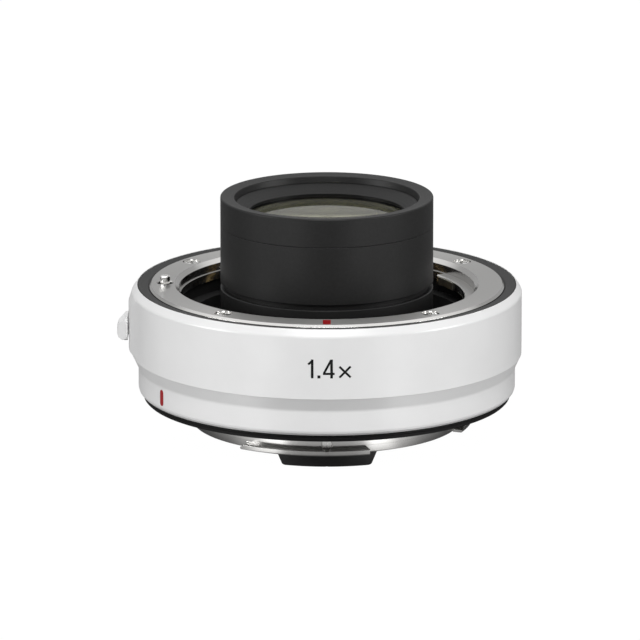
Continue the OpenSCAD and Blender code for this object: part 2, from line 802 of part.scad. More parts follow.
// White sliding knob outside the shell, sloping at the top and the ends, with a neck through the slot
module release_knob() {
    low_z = release_z - knob_h / 2;
    top_z = release_z + knob_h / 2;
    in_r = pad_r + pad_gap;
    out_r = pad_r + knob_out;
    foot = 0.25;
    low_round = 0.9;
    low_cut = 0.26;
    face_top_z = low_z + 2.1;
    bulge_z = low_z + 2.9;
    end_taper = 2.1;
    side_round = 1;
    neck_corner = 0.5;
    color("white")
        at_angle(release_a)
            difference() {
                union() {
                    intersection() {
                        rotate([90, 0, 0])
                            linear_extrude(height = knob_w, center = true)
                                polygon([[in_r, low_z], [out_r - low_round, low_z],
                                         [out_r - low_cut, low_z + low_cut], [out_r, low_z + low_round],
                                         [out_r, face_top_z], [out_r - low_cut, bulge_z],
                                         [in_r + foot, top_z], [in_r, top_z]]);
                        translate([0, 0, low_z - over])
                            linear_extrude(height = knob_h + 2 * over)
                                polygon([[in_r - over, -knob_w / 2], [in_r + foot, -knob_w / 2],
                                         [out_r - low_cut, end_taper - foot - knob_w / 2],
                                         [out_r, end_taper + foot - knob_w / 2],
                                         [out_r, knob_w / 2 - end_taper - foot],
                                         [out_r - low_cut, knob_w / 2 - end_taper + foot],
                                         [in_r + foot, knob_w / 2], [in_r - over, knob_w / 2]]);
                        radial_bar(in_r - over, out_r + over, knob_w, low_z, top_z, side_round);
                    }
                    radial_bar(slider_out_r, in_r + neck_corner, neck_w, release_z - neck_h / 2,
                        release_z + neck_h / 2, neck_corner);
                }
                for (s = [-1, 1])
                    translate([slider_out_r - over, s * knob_screw_dy, release_z]) rotate([0, 90, 0])
                        drill(knob_screw_d, over + knob_screw_grip + screw_tip_gap);
            }
}

// Slider behind the knob, with an arm that holds the lock pin
module release_slider() {
    color("dimgray")
        at_angle(release_a)
            difference() {
                union() {
                    translate([slider_in_r, -slider_w / 2, slider_low_z])
                        cube([slider_t - seat_gap, slider_w, slider_down + slider_up]);
                    translate([pin_pos_r, -arm_w / 2, arm_low_z])
                        cube([slider_in_r - pin_pos_r + eps, arm_w, arm_t]);
                    translate([pin_pos_r, 0, arm_low_z]) cylinder(d = arm_w, h = arm_t, $fn = small_fn);
                }
                translate([pin_pos_r, 0, arm_low_z - over])
                    drill(pin_d, arm_t + 2 * over);
                for (s = [-1, 1])
                    translate([slider_in_r - over, s * knob_screw_dy, release_z]) rotate([0, 90, 0])
                        drill(knob_screw_d, slider_t + 2 * over);
            }
}

// Two screws from the slider into the knob's neck
module release_screws() {
    color("gainsboro")
        at_angle(release_a)
            for (s = [-1, 1])
                translate([slider_in_r - seat_gap, s * knob_screw_dy, release_z])
                    rotate([0, -90, 0]) {
                        cylinder(d = knob_screw_head_d, h = knob_screw_head_h, $fn = small_fn);
                        translate([0, 0, -slider_t - knob_screw_grip])
                            cylinder(d = knob_screw_d, h = slider_t + knob_screw_grip, $fn = small_fn);
                    }
}

// Lock pin, seated on the slider's arm by a collar
module lock_pin() {
    top_z = flange_gap + pin_rise;
    collar_z = arm_top_z + seat_gap;
    color("silver")
        at_angle(release_a, pin_pos_r)
            rotate_extrude($fn = small_fn) polygon([
                [0, arm_low_z], [pin_d / 2, arm_low_z], [pin_d / 2, collar_z], [pin_collar_d / 2, collar_z],
                [pin_collar_d / 2, collar_z + pin_collar_t], [pin_d / 2, collar_z + pin_collar_t],
                [pin_d / 2, top_z - pin_tip], [pin_d / 2 - pin_tip, top_z], [0, top_z]]);
}

// Spring that pushes the lock pin out
module lock_spring() {
    color("silver")
        at_angle(release_a, pin_pos_r)
            coil(spring_r, spring_wire_r, floor_top_z + cement_gap, arm_low_z - cement_gap, spring_turns,
                rings = 12, sides = 6);
}

// Lower tube of the barrel, fixed to the frame's floor and holding the third lens group
module barrel_base() {
    spigot_bore_r = core_r + slip_gap;
    bore_z = barrel_low_z - slip_gap;
    cavity_r = cell_r + slip_gap;
    cavity_z = third_seat_z - lip_t;
    color([0.12, 0.12, 0.12])
        difference() {
            turned([[cavity_r, floor_top_z + seat_gap], [base_r, floor_top_z + seat_gap],
                    [base_r, groove_low_z - edge_chamfer], [base_r - edge_chamfer, groove_low_z],
                    [spigot_bore_r, groove_low_z], [spigot_bore_r, bore_z], [third_lens_r + slip_gap, bore_z],
                    [third_lens_r + slip_gap, third_seat_z], [third_lip_r, third_seat_z],
                    [third_lip_r, cavity_z], [cavity_r, cavity_z]]);
            for (a = barrel_screw_angles)
                at_angle(a, barrel_screw_r, floor_top_z - over)
                    drill(small_d, over + barrel_screw_grip + screw_tip_gap);
        }
}

// Visible tube of the barrel, holding the second group and the seat of the front lens
module lens_barrel() {
    front_bore_r = front_lens_r + slip_gap;
    bore_r = second_lens_r + slip_gap;
    spigot_top_z = surface_z(front_top, front_lens_r) + cement_gap;
    color([0.14, 0.14, 0.14])
        turned([[second_lens_r - lens_lip, barrel_low_z], [core_r, barrel_low_z], [core_r, groove_top_z],
                [barrel_r - edge_chamfer, groove_top_z], [barrel_r, groove_top_z + edge_chamfer],
                [barrel_r, seam_z - edge_chamfer / 2], [barrel_r - edge_chamfer / 2, seam_z],
                [spigot_r, seam_z], [spigot_r, spigot_top_z], [front_bore_r, spigot_top_z],
                [front_bore_r, front_seat_z], [bore_r, front_seat_z], [bore_r, second_seat_z],
                [second_lens_r - lens_lip, second_seat_z]]);
}

// Front ring with a sloping rim round the front lens
module barrel_front_ring() {
    well_low_z = surface_z(front_top, front_lens_r) + front_ring_gap;
    low_z = seam_z + seat_gap;
    color([0.16, 0.16, 0.16])
        turned(concat(
            [[spigot_r + slip_gap, low_z], [barrel_r - edge_chamfer / 2, low_z],
             [barrel_r, low_z + edge_chamfer / 2]],
            arc([barrel_r - rim_round, barrel_top_z - rim_round], rim_round, 0, 90, 4),
            [[rim_in_r + rim_edge, barrel_top_z - rim_slope], [rim_in_r, barrel_top_z - rim_slope - rim_edge],
             [well_r, barrel_top_z - well_drop], [well_r, well_low_z], [spigot_r + slip_gap, well_low_z]]));
}

// Ring that holds the front lens, a cone down to an undercut edge round the glass
module front_retaining_ring() {
    hold_w = 0.4;
    undercut_h = 0.45;
    cone_drop = 0.15;
    out_r = well_r - slip_gap;
    in_r = front_lens_r - hold_w;
    undercut_r = in_r + hold_w / 2;
    low_z = surface_z(front_top, undercut_r) + cement_gap;
    edge_z = low_z + undercut_h;
    foot_z = surface_z(front_top, front_lens_r) + front_ring_gap;
    top_z = barrel_top_z - well_drop - cone_drop;
    color([0.13, 0.13, 0.13])
        turned([[undercut_r, low_z], [front_lens_r, low_z], [front_lens_r, foot_z], [out_r, foot_z],
                [out_r, top_z], [in_r, edge_z + rim_edge], [in_r, edge_z], [undercut_r, edge_z]]);
}

// Front lens
module lens_1() {
    lens(front_lens_r, front_top, front_low);
}

// Second group: two cemented lenses
module lens_2() {
    lens(second_lens_r, second_top, second_mid);
}

module lens_3() {
    lens(second_lens_r, second_mid - [cement_gap, 0], second_low);
}

// Third group: two cemented lenses
module lens_4() {
    lens(third_lens_r, third_top, third_mid);
}

module lens_5() {
    lens(third_lens_r, third_mid - [cement_gap, 0], third_low);
}

// Rear group: two cemented lenses
module lens_6() {
    lens(rear_lens_r, rear_top, rear_mid);
}

module lens_7() {
    lens(rear_lens_r, rear_mid - [cement_gap, 0], rear_low);
}

// Spacer between the front lens and the second group, with light traps inside
module lens_spacer() {
    low_z = surface_z(second_top, spacer_in_r) + cement_gap;
    top_z = surface_z(front_low, spacer_in_r) - cement_gap;
    rings = 5;
    pitch = (top_z - low_z) / rings;
    trap = 0.35;
    teeth = [for (i = [0:rings - 1]) each [[spacer_in_r, top_z - i * pitch],
        [spacer_in_r + trap, top_z - (i + 0.5) * pitch]]];
    color([0.1, 0.1, 0.1])
        turned(concat(teeth, [[spacer_in_r, low_z], [second_lens_r - spacer_play, low_z],
                              [second_lens_r - spacer_play, top_z]]));
}

// Ring that holds the third group from above
module middle_retaining_ring() {
    low_z = surface_z(third_top, third_lens_r) + cement_gap;
    ring_h = 0.7;
    color([0.1, 0.1, 0.1])
        turned(ring(third_lip_r, third_lens_r, low_z, low_z + ring_h));
}

// Cell of the rear group, screwed under the frame's floor
module rear_lens_cell() {
    bore_r = rear_lens_r + slip_gap;
    top_z = rear_seat_z + lens_lip;
    flange_top_z = rear_flange_t - seat_gap;
    color([0.12, 0.12, 0.12])
        difference() {
            turned([[bore_r, cell_end_z], [cell_r, cell_end_z], [cell_r, cell_flange_low_z],
                    [cell_flange_r, cell_flange_low_z], [cell_flange_r, flange_top_z], [cell_r, flange_top_z],
                    [cell_r, top_z], [rear_lip_r, top_z], [rear_lip_r, rear_seat_z], [bore_r, rear_seat_z]]);
            for (a = cell_screw_angles)
                at_angle(a, cell_screw_r, cell_flange_low_z)
                    mirror([0, 0, 1]) screw_hole(small_head_d, small_head_h, small_d, cell_flange_t + over);
        }
}

// Ring that holds the rear group from behind
module rear_retaining_ring() {
    top_z = surface_z(rear_low, rear_lip_r) - cement_gap;
    low_z = cell_end_z + slip_gap;
    flare = 0.3;
    color([0.1, 0.1, 0.1])
        turned([[rear_lip_r, top_z], [rear_lip_r + flare, low_z], [rear_lens_r, low_z],
                [rear_lens_r, top_z]]);
}

// Screws from the frame's floor into the barrel base
module barrel_screws() {
    color("gainsboro")
        for (a = barrel_screw_angles)
            at_angle(a, barrel_screw_r, rear_flange_t)
                mirror([0, 0, 1]) screw(small_head_d, small_head_h, 0, small_d, floor_t + barrel_screw_grip);
}

// Screws of the rear lens cell
module rear_cell_screws() {
    color("gainsboro")
        for (a = cell_screw_angles)
            at_angle(a, cell_screw_r, cell_flange_low_z)
                mirror([0, 0, 1]) screw(small_head_d, small_head_h, 0, small_d, cell_screw_l);
}

// Curved circuit board on the frame's floor
module main_board() {
    color("darkgreen")
        difference() {
            turned_arc(ring(board_in_r, board_out_r, board_low_z, board_top_z),
                board_angles[0], board_angles[1]);
            for (a = board_screw_angles)
                at_angle(a, board_screw_r, board_low_z - over)
                    drill(small_d, board_t + 2 * over);
        }
}

// Chips on the board
module board_chips() {
    sizes = [[118, 3.6], [128, 3], [232, 3], [242, 3.6]];
    color([0.15, 0.15, 0.17])
        for (s = sizes)
            at_angle(s[0], (board_in_r + board_out_r) / 2, board_top_z)
                translate([-s[1] / 2, -s[1] / 2, 0]) cube([s[1], s[1], chip_t]);
}

// Screws of the board
module board_screws() {
    color("gainsboro")
        for (a = board_screw_angles)
            at_angle(a, board_screw_r, board_top_z + seat_gap) {
                cylinder(d = small_head_d, h = small_head_h, $fn = small_fn);
                translate([0, 0, -board_t - board_gap - board_screw_grip])
                    cylinder(d = small_d, h = board_t + board_gap + board_screw_grip, $fn = small_fn);
            }
}

// Block that guides the spring contacts, hung under the throat floor
module front_contact_block() {
    color([0.08, 0.08, 0.08])
        difference() {
            union() {
                turned_arc(ring(block_in_r, block_out_r, front_block_low_z, front_block_top_z),
                    contact_a - front_block_span, contact_a + front_block_span);
                turned_arc(ring(block_in_r, block_flange_r, block_flange_z, block_flange_z + block_flange_t),
                    contact_a - block_flange_span, contact_a + block_flange_span);
            }
            for (i = [0:contact_count - 1])
                at_angle(contact_angle(i), contact_r) {
                    translate([0, 0, chamber_top_z - over])
                        drill(contact_d, block_cap_t + 2 * over, slip_gap);
                    translate([0, 0, chamber_low_z])
                        cylinder(d = chamber_d, h = chamber_top_z - chamber_low_z, $fn = small_fn);
                }
            for (s = [-1, 1])
                at_angle(contact_a + s * contact_screw_span, contact_r, block_flange_z - over)
                    drill(small_d, block_flange_t + 2 * over);
        }
}

// Screws of that block
module contact_block_screws() {
    color("gainsboro")
        for (s = [-1, 1])
            at_angle(contact_a + s * contact_screw_span, contact_r, block_flange_z - seat_gap) {
                translate([0, 0, -small_head_h]) cylinder(d = small_head_d, h = small_head_h, $fn = small_fn);
                cylinder(d = small_d, h = block_flange_t + contact_screw_grip, $fn = small_fn);
            }
}

// One gold spring contact with a rounded tip and a stop shoulder
module contact_pin(i) {
    tip_r = contact_d / 2;
    top_z = chamber_top_z - seat_gap;
    low_z = top_z - shoulder_t;
    stem_r = contact_spring_r - contact_wire_r - 2 * slip_gap;
    color("gold")
        at_angle(contact_angle(i), contact_r)
            rotate_extrude($fn = small_fn) polygon(concat(
                [[0, low_z - stem_h], [stem_r, low_z - stem_h], [stem_r, low_z], [shoulder_d / 2, low_z],
                 [shoulder_d / 2, top_z], [tip_r, top_z]],
                arc([0, contact_tip_z - tip_r], tip_r, 0, 90)));
}

// Springs under the contacts
module contact_springs() {
    low_z = chamber_low_z + cement_gap;
    top_z = chamber_top_z - seat_gap - shoulder_t - cement_gap;
    color("silver")
        for (i = [0:contact_count - 1])
            at_angle(contact_angle(i), contact_r)
                coil(contact_spring_r, contact_wire_r, low_z, top_z, turns = 4, rings = 6, sides = 4);
}

// Ribbon from the front contacts to the board
module front_ribbon() {
    color("peru")
        turned_arc(ring(block_out_r + seat_gap, block_out_r + seat_gap + ribbon_t, board_top_z + seat_gap,
            front_block_low_z + ribbon_lap), contact_a - ribbon_span, contact_a + ribbon_span);
}

// Ribbon from the board to the rear contacts
module rear_ribbon() {
    color("peru")
        turned_arc(ring(contact_r - ribbon_t / 2, contact_r + ribbon_t / 2, baffle_low_z + seat_gap,
            board_low_z - seat_gap), contact_a - ribbon_span, contact_a + ribbon_span);
}

// Steel bayonet with a pilot, a collar and three lugs
module rear_mount() {
    neck_z = lug_top_z + neck_drop;
    out_r = rear_mount_r;
    top_z = rear_flange_t - seat_gap;
    hole_r = stop_screw_d / 2 + seat_gap;
    seat_r = stop_head_d / 2 + stop_head_gap;
    seat_x = neck_r - stop_head_drop - stop_head_h - seat_gap;
    color("silver")
        difference() {
            union() {
                turned([[collar_in_r, top_z], [collar_in_r, collar_end_z],
                        [collar_r - lug_edge, collar_end_z], [collar_r, collar_end_z + lug_edge],
                        [collar_r, neck_z], [neck_r, neck_z], [neck_r, -pilot_h],
                        [pilot_r - pilot_edge, -pilot_h], [pilot_r, -pilot_h + pilot_edge],
                        [pilot_r, 0], [out_r, 0], [out_r, top_z]]);
                for (a = lug_angles)
                    turned_arc([[collar_r - eps, collar_end_z], [lug_r - lug_edge, collar_end_z],
                                [lug_r, collar_end_z + lug_edge], [lug_r, lug_top_z - lug_edge],
                                [lug_r - lug_edge, lug_top_z], [collar_r - eps, lug_top_z]], a[0], a[1]);
            }
            for (a = lug_angles)
                lug_ramp(a[0]);
            for (a = rear_screw_angles)
                at_angle(a, rear_screw_r, rear_screw_sink) mirror([0, 0, 1])
                    screw_hole(screw_head_d, screw_head_h, screw_d, rear_flange_t + over);
            at_angle(release_a, pin_pos_r, -over)
                cylinder(d = pin_d + 2 * lock_hole_gap, h = rear_flange_t + 2 * over, $fn = small_fn);
            at_angle(0, 0, stop_screw_z) rotate([0, 90, 0])
                rotate_extrude($fn = small_fn) polygon([
                    [0, collar_in_r - over], [hole_r, collar_in_r - over], [hole_r, seat_x], [seat_r, seat_x],
                    [seat_r, lug_r], [0, lug_r]]);
        }
}

// Lead-in ramp on the leading end of a lug
module lug_ramp(a) {
    ramp_l = 4;
    ramp_depth = 0.55;
    at_angle(a, neck_r + lug_edge / 2, lug_top_z)
        rotate([lug_ramp_a, 0, 0]) translate([0, over - ramp_l, -ramp_depth]) cube([lug_r, ramp_l, ramp_l]);
}

// Screws of the rear mount
module rear_mount_screws() {
    color("gainsboro")
        for (a = rear_screw_angles)
            at_angle(a, rear_screw_r, rear_screw_sink)
                mirror([0, 0, 1]) rotate([0, 0, 45]) screw(screw_head_d, screw_head_h, 0, screw_d, screw_l);
}

// Small radial screw in the collar that stops the turn
module rear_stop_screw() {
    slot_w = 0.34;
    slot_depth = 0.25;
    color("gainsboro")
        at_angle(0, neck_r - stop_head_drop, stop_screw_z) rotate([0, 90, 0])
            difference() {
                union() {
                    translate([0, 0, -stop_head_h])
                        cylinder(d = stop_head_d, h = stop_head_h, $fn = small_fn);
                    translate([0, 0, -collar_wall])
                        cylinder(d = stop_screw_d, h = collar_wall, $fn = small_fn);
                }
                translate([-stop_head_d, -slot_w / 2, -slot_depth])
                    cube([2 * stop_head_d, slot_w, slot_depth + over]);
            }
}

// Rubber ring that seals the joint with the camera
module rear_seal_ring() {
    in_r = rear_mount_r + slip_gap;
    setback = 0.95;
    out_r = low_r - setback;
    inner_r = low_r - shell_wall - slip_gap;
    lead_w = 0.6;
    lead_h = 0.35;
    edge = 0.25;
    bead = 0.1;
    bead_z = -2 * bead;
    top_z = rear_flange_t - seat_gap;
    rim_z = shell_lift - seat_gap;
    color([0.06, 0.06, 0.06])
        turned([[in_r, top_z], [in_r, -seal_drop + lead_h], [in_r + lead_w, -seal_drop],
                [out_r - edge, -seal_drop], [out_r, -seal_drop + edge],
                [out_r, bead_z - bead], [out_r - bead, bead_z], [out_r, bead_z + bead],
                [out_r, rim_z], [inner_r, rim_z], [inner_r, top_z]]);
}

// Black dish inside the collar, with a hole for the rear lens
module rear_baffle() {
    rim_top_z = rear_flange_t - seat_gap;
    color([0.1, 0.1, 0.1])
        difference() {
            turned([[baffle_hole_r + baffle_flare, baffle_top_z], [baffle_hole_r, baffle_low_z],
                    [baffle_r, baffle_low_z], [baffle_r, rim_top_z], [baffle_r - baffle_rim, rim_top_z],
                    [baffle_r - baffle_rim, baffle_top_z]]);
            turned_arc(
                ring(contact_r - ribbon_slot, contact_r + ribbon_slot, baffle_low_z - over, rim_top_z + over),
                contact_a - ribbon_slot_span, contact_a + ribbon_slot_span);
            for (a = block_screw_angles)
                at_angle(a, contact_r, baffle_low_z - over)
                    drill(small_d, baffle_t + 2 * over);
            at_angle(0, baffle_r - baffle_rim - over, stop_screw_z) rotate([0, 90, 0])
                drill(stop_screw_d, baffle_rim + 2 * over, run_gap);
        }
}

// Counterbored holes of the guard and the rear contact block
module block_screw_holes(angles) {
    for (a = angles)
        at_angle(a, contact_r, -guard_drop - over) {
            drill(small_head_d, over + block_head_depth, slip_gap);
            drill(small_d, guard_drop);
        }
}

// Black guard below the collar, with sloping ends and rounded corners
module rear_guard() {
    half = guard_w / 2;
    low_half = half - guard_slope;
    side_a = atan2(guard_slope, guard_drop + collar_end_z);
    tangent = guard_corner * tan((90 - side_a) / 2);
    corner_x = low_half - tangent;
    side_x = low_half + tangent * sin(side_a);
    side_z = tangent * cos(side_a) - guard_drop;
    reach_a = 45;
    color([0.1, 0.1, 0.1])
        difference() {
            intersection() {
                turned_arc(block_profile, -reach_a, reach_a);
                rotate([90, 0, 0]) linear_extrude(height = block_out_r + over) {
                    polygon([[-half, 0], [-half, collar_end_z], [-side_x, side_z], [-corner_x, -guard_drop],
                             [corner_x, -guard_drop], [side_x, side_z], [half, collar_end_z], [half, 0]]);
                    for (s = [-1, 1])
                        translate([s * corner_x, guard_corner - guard_drop])
                            circle(r = guard_corner, $fn = small_fn);
                }
            }
            block_screw_holes([0]);
        }
}

// One flat rear contact
module rear_pad(i) {
    turned_arc(ring(pad_in_r, pad_out_r, pad_recess - guard_drop, pad_recess + pad_t - guard_drop),
        contact_angle(i) - pad_span / 2, contact_angle(i) + pad_span / 2);
}

// Black block that carries the rear contacts, opposite the guard
module rear_contact_block() {
    channel_span = contact_span + pad_span / 2 + channel_end_a;
    color([0.1, 0.1, 0.1])
        difference() {
            turned_arc(block_profile, contact_a - rear_block_span, contact_a + rear_block_span);
            turned_arc(ring(pad_in_r - channel_gap, pad_out_r + channel_gap, -guard_drop - over,
                pad_recess - guard_drop), contact_a - channel_span, contact_a + channel_span);
            for (i = [0:contact_count - 1])
                rear_pad(i);
            block_screw_holes([contact_a - rear_screw_span, contact_a + rear_screw_span]);
        }
}

// Gold pads of the rear contacts
module rear_contacts() {
    color("gold")
        for (i = [0:contact_count - 1])
            rear_pad(i);
}

// Screws that hold the guard and the rear contact block to the baffle
module rear_block_screws() {
    head_z = block_head_depth - guard_drop - seat_gap;
    color("dimgray")
        for (a = block_screw_angles)
            at_angle(a, contact_r, head_z) {
                translate([0, 0, -small_head_h]) cylinder(d = small_head_d, h = small_head_h, $fn = small_fn);
                cylinder(d = small_d, h = baffle_top_z - head_z, $fn = small_fn);
            }
}

// Bar of the rear index mark, between two radii
module rear_mark_bar(r1, r2) {
    intersection() {
        at_angle(rear_mark_a)
            radial_bar(r1 - over, r2, rear_mark_w, rear_mark_z[0], rear_mark_z[1], rear_mark_w / 2 - eps);
        turned(ring(r1, r2 + over, rear_mark_z[0] - over, rear_mark_z[1] + over));
    }
}

// Red fill of the rear index mark
module rear_index_mark() {
    color("firebrick")
        intersection() {
            rear_mark_bar(low_r - mark_depth, low_r + over);
            cylinder(r = low_r + cement_gap, h = flange_gap, $fn = round_fn);
        }
}

outer_shell();
front_trim_ring();
front_mount_ring();
front_mount_screws();
front_index_mark();
bayonet_leaf_springs();
throat_lining();
inner_frame();
release_knob();
release_slider();
release_screws();
lock_pin();
lock_spring();
barrel_base();
lens_barrel();
barrel_front_ring();
front_retaining_ring();
lens_1();
lens_2();
lens_3();
lens_4();
lens_5();
lens_6();
lens_7();
lens_spacer();
middle_retaining_ring();
rear_lens_cell();
rear_retaining_ring();
barrel_screws();
rear_cell_screws();
main_board();
board_chips();
board_screws();
front_contact_block();
contact_block_screws();
contact_springs();
front_ribbon();
rear_ribbon();
rear_mount();
rear_mount_screws();
rear_stop_screw();
rear_seal_ring();
rear_baffle();
rear_guard();
rear_contact_block();
rear_contacts();
rear_block_screws();
rear_index_mark();
for (i = [0:contact_count - 1]) contact_pin(i);
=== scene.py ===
import math

import bmesh
import bpy
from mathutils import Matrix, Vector


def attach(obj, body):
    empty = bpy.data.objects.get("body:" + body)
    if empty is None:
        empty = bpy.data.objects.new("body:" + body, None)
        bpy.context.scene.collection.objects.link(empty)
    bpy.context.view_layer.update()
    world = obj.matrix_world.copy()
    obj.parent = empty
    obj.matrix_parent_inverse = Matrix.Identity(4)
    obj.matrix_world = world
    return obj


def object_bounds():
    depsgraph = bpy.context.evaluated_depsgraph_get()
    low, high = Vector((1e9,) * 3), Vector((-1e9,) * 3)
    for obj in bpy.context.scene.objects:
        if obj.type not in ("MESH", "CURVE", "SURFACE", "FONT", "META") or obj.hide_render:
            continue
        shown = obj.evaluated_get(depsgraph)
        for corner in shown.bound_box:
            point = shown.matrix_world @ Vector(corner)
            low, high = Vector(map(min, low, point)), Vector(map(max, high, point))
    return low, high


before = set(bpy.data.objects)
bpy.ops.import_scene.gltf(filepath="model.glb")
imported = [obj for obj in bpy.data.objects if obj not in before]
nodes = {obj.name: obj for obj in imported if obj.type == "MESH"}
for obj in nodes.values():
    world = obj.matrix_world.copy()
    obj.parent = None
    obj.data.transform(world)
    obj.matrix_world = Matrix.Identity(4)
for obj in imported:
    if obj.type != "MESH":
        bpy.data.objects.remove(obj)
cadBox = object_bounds()
mm = 0.001
print("frame loaded,", len(nodes), "nodes")


# camera

cameraSetup = {
    "lens": 389.6,          # mm on a 36 mm sensor
    "distance": 1266.6,     # mm from the point it looks at
    "elevation": 14.18,     # degrees above the horizon
    "lookAt": 9.85,         # height of that point on the optical axis, mm
    "shift": (-0.01064, 0.02788),
}


def makeCamera(setup):
    data = bpy.data.cameras.new("camera")
    data.sensor_width = 36
    data.lens = setup["lens"]
    data.shift_x, data.shift_y = setup["shift"]
    data.clip_start, data.clip_end = 0.05, 20
    tilt = math.radians(setup["elevation"])
    reach = setup["distance"] * mm
    camera = bpy.data.objects.new("camera", data)
    camera.location = (0, -reach * math.cos(tilt), setup["lookAt"] * mm + reach * math.sin(tilt))
    camera.rotation_euler = (math.pi / 2 - tilt, 0, 0)
    bpy.context.scene.collection.objects.link(camera)
    bpy.context.scene.camera = camera


makeCamera(cameraSetup)
bpy.context.scene.view_settings.view_transform = "Standard"
print("camera placed")


# node helpers

noiseSpan = (0.3, 0.7)      # where most of a noise lies


def newMaterial(name, **sockets):
    material = bpy.data.materials.new(name)
    material.use_nodes = True
    tree = material.node_tree
    shader = tree.nodes["Principled BSDF"]
    for socket, value in sockets.items():
        shader.inputs[socket.replace("_", " ")].default_value = value
    return material, tree, shader


def addNode(tree, kind, values=None, **settings):
    node = tree.nodes.new(kind)
    for key, value in settings.items():
        setattr(node, key, value)
    for socket, value in (values or {}).items():
        node.inputs[socket].default_value = value
    return node


def grain(tree, size, detail=3.0, rough=0.5):     # noise with bumps of about this size in mm
    place = addNode(tree, "ShaderNodeTexCoord")
    values = {"Scale": 1 / (size * mm), "Detail": detail, "Roughness": rough}
    noise = addNode(tree, "ShaderNodeTexNoise", values)
    tree.links.new(place.outputs["Object"], noise.inputs["Vector"])
    return noise.outputs["Fac"]


def turnedMarks(tree, pitch, along="radius"):     # fine rings that a lathe leaves, about pitch mm apart
    place = addNode(tree, "ShaderNodeTexCoord")
    if along == "radius":
        flat = addNode(tree, "ShaderNodeVectorMath", operation="MULTIPLY")
        flat.inputs[1].default_value = (1, 1, 0)
        tree.links.new(place.outputs["Object"], flat.inputs[0])
        length = addNode(tree, "ShaderNodeVectorMath", operation="LENGTH")
        tree.links.new(flat.outputs["Vector"], length.inputs[0])
        distance = length.outputs["Value"]
    else:
        split = addNode(tree, "ShaderNodeSeparateXYZ")
        tree.links.new(place.outputs["Object"], split.inputs[0])
        distance = split.outputs["Z"]
    values = {"Scale": 1 / (pitch * mm), "Detail": 4.0, "Roughness": 0.7}
    rings = addNode(tree, "ShaderNodeTexNoise", values, noise_dimensions="1D")
    tree.links.new(distance, rings.inputs["W"])
    return rings.outputs["Fac"]


def mapped(tree, value, start, end, low=0.0, high=1.0):
    values = {"From Min": start, "From Max": end, "To Min": low, "To Max": high}
    remap = addNode(tree, "ShaderNodeMapRange", values)
    tree.links.new(value, remap.inputs["Value"])
    return remap.outputs["Result"]


def spread(tree, noise, low, high):               # maps a noise to a range
    return mapped(tree, noise, *noiseSpan, low, high)


def tint(tree, shader, factor, low, high):        # colour between two close shades, a grey as one number
    ramp = addNode(tree, "ShaderNodeValToRGB")
    for stop, at, shade in zip(ramp.color_ramp.elements, noiseSpan, (low, high)):
        stop.position = at
        stop.color = (shade, shade, shade, 1) if isinstance(shade, float) else (*shade, 1)
    tree.links.new(factor, ramp.inputs["Fac"])
    tree.links.new(ramp.outputs["Color"], shader.inputs["Base Color"])


def relief(tree, shader, height, depth, edge=0.0):   # bump of a depth in mm over softened edges
    bump = addNode(tree, "ShaderNodeBump", {"Strength": 1.0, "Distance": depth * mm})
    tree.links.new(height, bump.inputs["Height"])
    if edge:
        soft = addNode(tree, "ShaderNodeBevel", {"Radius": edge * mm}, samples=6)
        tree.links.new(soft.outputs["Normal"], bump.inputs["Normal"])
    tree.links.new(bump.outputs["Normal"], shader.inputs["Normal"])


def dress(material, *names):
    for name in names:
        mesh = nodes[name].data
        mesh.materials.clear()
        mesh.materials.append(material)


# finishes

paintLook = {
    "light": 0.80,
    "dark": 0.77,
    "cloud": 9.0,                     # size of the faint clouds in the colour, mm
    "gloss": 0.4,                     # size of the changes in gloss, mm
    "rough": (0.29, 0.37),
    "peel": 0.22,                     # size and depth of the orange peel, mm
    "depth": 0.006,
    "edge": 0.1,
}


def whitePaint(name, look):
    material, tree, shader = newMaterial(name, Specular_IOR_Level=0.5)
    tint(tree, shader, grain(tree, look["cloud"]), look["dark"], look["light"])
    tree.links.new(spread(tree, grain(tree, look["gloss"]), *look["rough"]), shader.inputs["Roughness"])
    relief(tree, shader, grain(tree, look["peel"], 2.0), look["depth"], look["edge"])
    return material


dress(whitePaint("shellPaint", paintLook), "outer_shell")
dress(whitePaint("knobPaint", paintLook), "release_knob")

steelLook = {
    "light": (0.50, 0.495, 0.485),
    "dark": (0.46, 0.455, 0.445),
    "rough": (0.31, 0.37),            # flat faces, brushed round
    "wallRough": (0.12, 0.18),        # bores and bevels, cut smooth
    "pitch": 0.05,
    "flat": (0.9, 0.98),              # upright part of the normal, from wall to face
    "depth": 0.0008,
    "edge": 0.06,
}


def flatness(tree, span):             # 1 on faces across the optical axis, 0 on walls and bevels
    surface = addNode(tree, "ShaderNodeNewGeometry")
    split = addNode(tree, "ShaderNodeSeparateXYZ")
    tree.links.new(surface.outputs["Normal"], split.inputs[0])
    upright = addNode(tree, "ShaderNodeMath", operation="ABSOLUTE")
    tree.links.new(split.outputs["Z"], upright.inputs[0])
    return mapped(tree, upright.outputs[0], *span)


def turnedSteel(name, look):
    material, tree, shader = newMaterial(name, Metallic=1.0, Anisotropic=0.7, Anisotropic_Rotation=0.25)
    marks = turnedMarks(tree, look["pitch"])
    tint(tree, shader, marks, look["dark"], look["light"])
    finish = addNode(tree, "ShaderNodeMix", data_type="FLOAT")
    tree.links.new(flatness(tree, look["flat"]), finish.inputs["Factor"])
    tree.links.new(spread(tree, marks, *look["wallRough"]), finish.inputs["A"])
    tree.links.new(spread(tree, marks, *look["rough"]), finish.inputs["B"])
    tree.links.new(finish.outputs["Result"], shader.inputs["Roughness"])
    around = addNode(tree, "ShaderNodeTangent", direction_type="RADIAL", axis="Z")
    tree.links.new(around.outputs["Tangent"], shader.inputs["Tangent"])
    relief(tree, shader, marks, look["depth"], look["edge"])
    return material


dress(turnedSteel("mountSteel", steelLook), "front_mount_ring", "rear_mount")

